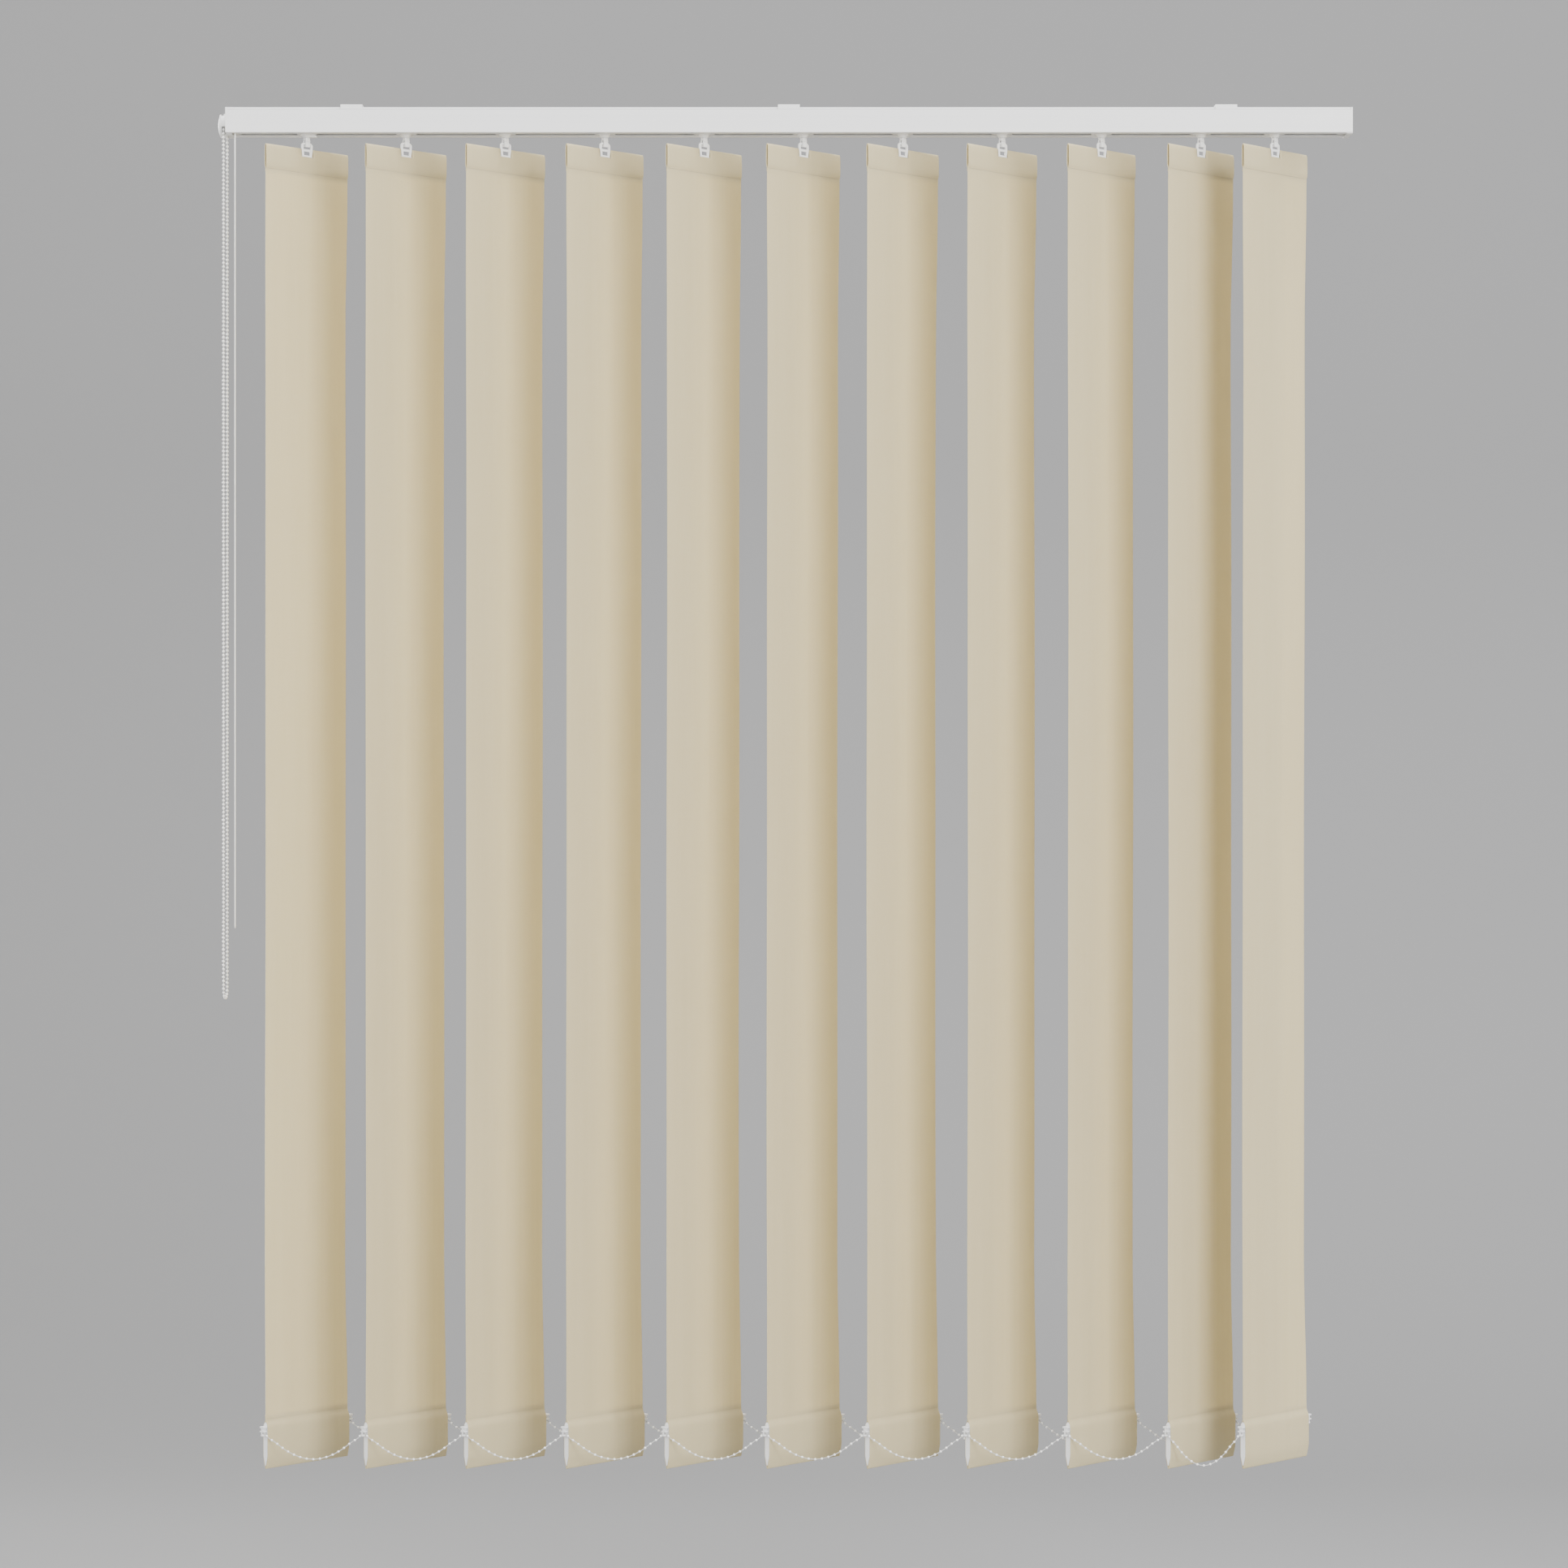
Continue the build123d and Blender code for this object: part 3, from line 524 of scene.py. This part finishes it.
def coated(name, white=(0.79, 0.79, 0.785), dull=(0.765, 0.766, 0.765)):
    """White powder coat over metal: faint draw lines along it, a fine orange peel and rubbed edges."""
    m, t, b = start(name)
    lines = noise(t, places(t, (1.6, 420.0, 420.0)), 1.0, 3.0, 0.6)
    peel = noise(t, places(t), 620.0, 2.0, 0.5)
    dust = noise(t, places(t, (3.0, 8.0, 8.0)), 1.0, 5.0, 0.6)
    geo = t.nodes.new("ShaderNodeNewGeometry")
    sep = t.nodes.new("ShaderNodeSeparateXYZ")
    t.links.new(geo.outputs["Normal"], sep.inputs[0])
    up = spread_of(t, sep.outputs["Z"], 0.5, 1.0, 0.0, 1.0)
    base = mixed(t, spread_of(t, lines, 0.3, 0.7, 0.0, 1.0), white, dull)
    dusty = mixed(t, math_node(t, "MULTIPLY", up, spread_of(t, dust, 0.35, 0.75, 0.05, 0.5)), base, (0.66, 0.65, 0.62))
    normal, edge = edges(t, 0.0004)
    rubbed = mixed(t, math_node(t, "MULTIPLY", edge, spread_of(t, dust, 0.4, 0.65, 0.0, 0.6)), dusty, (0.84, 0.84, 0.84))
    t.links.new(rubbed, b.inputs["Base Color"])
    t.links.new(spread_of(t, dust, 0.3, 0.7, 0.36, 0.46), b.inputs["Roughness"])
    b.inputs["Coat Weight"].default_value = 0.12
    b.inputs["Coat Roughness"].default_value = 0.25
    bump(t, b, [(lines, 0.00012, 0.20), (peel, 0.00004, 0.35)], normal)
    return m


def cloth_weave(name="louvre_weave"):
    """Plain weave, about 20 threads a centimetre, with slubs, a soft fuzz and painted shade between the threads."""
    m, t, b = start(name)
    uv = add(t, "ShaderNodeUVMap", uv_map="cloth")
    sep = t.nodes.new("ShaderNodeSeparateXYZ")
    t.links.new(uv.outputs[0], sep.inputs[0])
    wander = noise(t, uv.outputs[0], 160.0, 2.0, 0.5)
    drift = spread_of(t, wander, 0.0, 1.0, -0.00006, 0.00006)
    u = math_node(t, "MULTIPLY", math_node(t, "ADD", sep.outputs[0], drift), math.pi / 0.00052)
    v = math_node(t, "MULTIPLY", math_node(t, "ADD", sep.outputs[1], drift), math.pi / 0.00050)
    su, sv = math_node(t, "SINE", u), math_node(t, "SINE", v)
    over = spread_of(t, math_node(t, "MULTIPLY", su, sv), -0.25, 0.25, 0.0, 1.0)
    warp, weft = math_node(t, "ABSOLUTE", su), math_node(t, "ABSOLUTE", sv)
    top = math_node(t, "MULTIPLY", warp, over)
    low = math_node(t, "MULTIPLY", weft, math_node(t, "SUBTRACT", 1.0, over))
    height = math_node(t, "ADD", top, low)

    def along(scale):
        mp = t.nodes.new("ShaderNodeMapping")
        mp.inputs["Scale"].default_value = scale
        t.links.new(uv.outputs[0], mp.inputs["Vector"])
        return mp.outputs[0]

    slub_down = noise(t, along((1900.0, 18.0, 1.0)), 1.0, 2.0, 0.6)
    slub_over = noise(t, along((22.0, 1900.0, 1.0)), 1.0, 2.0, 0.6)
    streak = noise(t, along((95.0, 1.1, 1.0)), 1.0, 3.0, 0.6)
    cloud = noise(t, along((7.0, 3.0, 1.0)), 1.0, 3.0, 0.5)
    slub = math_node(t, "MAXIMUM", slub_down, slub_over)
    base = mixed(t, spread_of(t, streak, 0.3, 0.7, 0.0, 1.0), (0.552, 0.474, 0.292), (0.520, 0.444, 0.270))
    base = mixed(t, spread_of(t, cloud, 0.3, 0.7, 0.0, 0.5), base, (0.576, 0.498, 0.312))
    yarn = mixed(t, spread_of(t, slub, 0.45, 0.75, 0.0, 0.35), base, (0.628, 0.556, 0.366))
    # painted shade: the cloth is darker where the weave height is low, in the hollows between threads
    hollow_shaded = mixed(t, spread_of(t, height, 0.15, 0.8, 0.0, 1.0), (0.418, 0.350, 0.204), yarn)
    t.links.new(hollow_shaded, b.inputs["Base Color"])
    t.links.new(spread_of(t, height, 0.1, 0.9, 0.90, 0.78), b.inputs["Roughness"])
    b.inputs["Specular IOR Level"].default_value = 0.12
    b.inputs["Sheen Weight"].default_value = 0.05
    b.inputs["Sheen Roughness"].default_value = 0.45
    # light from behind comes through the thin cloth
    b.inputs["Subsurface Weight"].default_value = 0.45
    b.inputs["Subsurface Radius"].default_value = (1.0, 0.97, 0.88)
    b.inputs["Subsurface Scale"].default_value = 0.0016
    bump(t, b, [(slub, 0.00012, 0.20), (height, 0.00014, 0.45)])
    return m


def thread():
    """Stitching thread: two plies twisted together, with painted shade in the groove between them."""
    m, t, b = start("seam_thread")
    where = places(t)
    ply = add(t, "ShaderNodeTexWave", {"Scale": 900.0, "Distortion": 1.5, "Detail": 1.0}, bands_direction="DIAGONAL")
    t.links.new(where, ply.inputs["Vector"])
    # painted shade: the thread is darker where the ply pattern is low, in the groove between the plies
    tone = mixed(t, spread_of(t, ply.outputs["Fac"], 0.2, 0.8, 0.0, 1.0), (0.270, 0.225, 0.150), (0.350, 0.300, 0.210))
    t.links.new(tone, b.inputs["Base Color"])
    t.links.new(spread_of(t, ply.outputs["Fac"], 0.0, 1.0, 0.75, 0.6), b.inputs["Roughness"])
    b.inputs["Sheen Weight"].default_value = 0.1
    bump(t, b, [(ply.outputs["Fac"], 0.00006, 0.4)])
    return m


def braid(name, colour, size=1400.0):
    """Braided cord: crossing diagonal strands, with painted shade in the gaps between them."""
    m, t, b = start(name)
    where = places(t, (1.0, 1.0, 0.55))
    one = add(t, "ShaderNodeTexWave", {"Scale": size, "Distortion": 0.6, "Detail": 1.0}, bands_direction="DIAGONAL")
    t.links.new(where, one.inputs["Vector"])
    mirror = places(t, (-1.0, 1.0, 0.55))
    two = add(t, "ShaderNodeTexWave", {"Scale": size, "Distortion": 0.6, "Detail": 1.0}, bands_direction="DIAGONAL")
    t.links.new(mirror, two.inputs["Vector"])
    weave = math_node(t, "MAXIMUM", one.outputs["Fac"], two.outputs["Fac"])
    grime = noise(t, places(t), 25.0, 3.0, 0.6)
    # painted shade: the cord is darker where the weave pattern is low, in the gaps between the strands
    tone = mixed(t, spread_of(t, weave, 0.2, 0.9, 0.0, 1.0), tuple(c * 0.72 for c in colour), colour)
    tone = mixed(t, spread_of(t, grime, 0.45, 0.8, 0.0, 0.25), tone, (0.66, 0.63, 0.57))
    t.links.new(tone, b.inputs["Base Color"])
    t.links.new(spread_of(t, weave, 0.0, 1.0, 0.72, 0.5), b.inputs["Roughness"])
    b.inputs["Sheen Weight"].default_value = 0.12
    bump(t, b, [(weave, 0.00010, 0.5)])
    return m


def bright_metal(name, colour, roughness, stretch, coat=0.0):
    """Bare or plated metal with its drawing or rolling marks along one way."""
    m, t, b = start(name)
    lines = noise(t, places(t, stretch), 1.0, 4.0, 0.65)
    spangle = add(t, "ShaderNodeTexVoronoi", {"Scale": 260.0, "Randomness": 1.0})
    t.links.new(places(t), spangle.inputs["Vector"])
    patch = noise(t, places(t), 60.0, 3.0, 0.5)
    tone = mixed(t, spread_of(t, lines, 0.3, 0.7, 0.0, 1.0), tuple(c * 0.86 for c in colour), colour)
    tone = mixed(t, spread_of(t, spangle.outputs["Distance"], 0.0, 0.9, 0.0, 0.18), tone, tuple(c * 0.78 for c in colour))
    t.links.new(tone, b.inputs["Base Color"])
    b.inputs["Metallic"].default_value = 1.0
    t.links.new(math_node(t, "ADD", spread_of(t, lines, 0.3, 0.7, roughness - 0.05, roughness + 0.05),
                          spread_of(t, patch, 0.3, 0.7, -0.04, 0.04)), b.inputs["Roughness"])
    bump(t, b, [(patch, 0.0001, 0.10), (lines, 0.00004, 0.25)])
    return m


looks = {
    "rail_white": coated("rail_coat"),
    "cap_plastic": plastic("cap_plastic_moulded", (0.80, 0.80, 0.79), 0.36),
    "truck_plastic": plastic("truck_plastic_moulded", (0.83, 0.82, 0.785), 0.42, (0.97, 0.96, 0.93)),
    "clear_white_plastic": plastic("hanger_plastic_moulded", (0.86, 0.86, 0.85), 0.26, coat=0.15),
    "weight_plastic": plastic("weight_plastic_moulded", (0.80, 0.80, 0.80), 0.30, coat=0.1),
    "bead_plastic": plastic("bead_plastic_moulded", (0.86, 0.86, 0.845), 0.24, grain=1500.0, coat=0.2),
    "louvre_fabric": cloth_weave(),
    "cord_white": braid("cord_braid", (0.84, 0.84, 0.825)),
    "rod_aluminium": bright_metal("rod_drawn_aluminium", (0.78, 0.79, 0.80), 0.30, (2.0, 900.0, 900.0)),
    "bracket_enamel": coated("bracket_enamel", (0.785, 0.785, 0.78), (0.76, 0.76, 0.755)),
    "screw_steel": bright_metal("screw_zinc_plate", (0.62, 0.62, 0.62), 0.28, (200.0, 900.0, 900.0)),
}
chain_cord = braid("chain_string_twist", (0.60, 0.60, 0.585), 1800.0)
seam_thread = thread()

sub = {p["node"]: p.get("material_slot") for p in frame["record"].get("subparts", [])}
for name, o in nodes.items():
    look = looks[sub[name]]
    if not o.material_slots:
        o.data.materials.append(look)
    for s in o.material_slots:
        s.material = look


def dress(obj, look):
    obj.data.materials.clear()
    obj.data.materials.append(look)
    return obj


dress(chain_string, chain_cord)
dress(chain_beads, looks["bead_plastic"])
dress(draw_cord, looks["cord_white"])
for o in (front_string, back_string):
    dress(o, chain_cord)
for o in (front_beads, back_beads):
    dress(o, looks["bead_plastic"])
for o in cloths:
    dress(o, looks["louvre_fabric"])
for o in seams:
    dress(o, seam_thread)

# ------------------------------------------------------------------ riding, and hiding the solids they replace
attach(chain_string, "rail")
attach(chain_beads, "rail")
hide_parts("control_chain")

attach(draw_cord, "rail")
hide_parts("draw_cord")

for string, pearls, line, clips, body, node in (
    (front_string, front_beads, front_line, front_clips, "front_chain", "bottom_chain_front"),
    (back_string, back_beads, back_line, back_clips, "back_chain", "bottom_chain_back"),
):
    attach(string, body)
    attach(pearls, body)
    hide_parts(node)
    for o in (string, pearls):
        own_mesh(o)

for i in range(11):
    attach(cloths[i], f"vane_{i + 1:02d}")
    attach(seams[i], f"vane_{i + 1:02d}")
    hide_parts(f"louvre_{i + 1:02d}")


# ------------------------------------------------------------------ stage
def backdrop():
    """A pale floor that turns up into a wall behind, clear when seen from its own back."""
    section = [(-9.0, -1.80), (1.4, -1.80)]
    for k in range(1, 25):
        a = math.radians(3.75 * k)
        section.append((1.4 + 1.6 * math.sin(a), -1.80 + 1.6 * (1 - math.cos(a))))
    section.append((3.0, 7.0))
    verts = [(x, y, z) for y, z in section for x in (-10.0, 10.0)]
    faces = [(2 * k, 2 * k + 1, 2 * k + 3, 2 * k + 2) for k in range(len(section) - 1)]
    o = mesh_object("stage_sweep", verts, faces)
    m, t, b = start("stage_paper")
    tone = noise(t, places(t), 1.2, 3.0, 0.5)
    t.links.new(mixed(t, tone, (0.235, 0.235, 0.237), (0.245, 0.245, 0.247)), b.inputs["Base Color"])
    b.inputs["Roughness"].default_value = 0.9
    clear = t.nodes.new("ShaderNodeBsdfTransparent")
    side = t.nodes.new("ShaderNodeNewGeometry")
    both = t.nodes.new("ShaderNodeMixShader")
    t.links.new(side.outputs["Backfacing"], both.inputs[0])
    t.links.new(b.outputs[0], both.inputs[1])
    t.links.new(clear.outputs[0], both.inputs[2])
    t.links.new(both.outputs[0], t.nodes["Material Output"].inputs["Surface"])
    o.data.materials.append(m)


backdrop()


def soft_light(name, place, aim, size, power, spread=180.0):
    data = bpy.data.lights.new(name, "AREA")
    data.shape = "RECTANGLE"
    data.size, data.size_y = size
    data.energy = power
    data.spread = math.radians(spread)
    o = link(bpy.data.objects.new(name, data))
    o.location = place
    o.rotation_euler = (Vector(aim) - Vector(place)).to_track_quat("-Z", "Y").to_euler()
    o.visible_camera = False


soft_light("key", (3.0, -3.7, 0.5), (0.3, 0.0, -0.8), (2.6, 2.6), 270.0)
soft_light("fill", (-2.6, -4.0, 0.2), (0.0, 0.0, -0.8), (2.6, 2.6), 85.0)
soft_light("top", (0.0, -0.4, 2.2), (0.0, 0.1, -0.8), (3.2, 1.6), 90.0)
soft_light("behind", (-2.6, 2.3, 0.2), (0.1, 0.0, -0.8), (1.2, 2.0), 46.0, 55.0)
world = bpy.data.worlds.new("studio")
scene.world = world
world.use_nodes = True
world.node_tree.nodes["Background"].inputs[0].default_value = (1.0, 1.0, 1.0, 1.0)
world.node_tree.nodes["Background"].inputs[1].default_value = 1.75
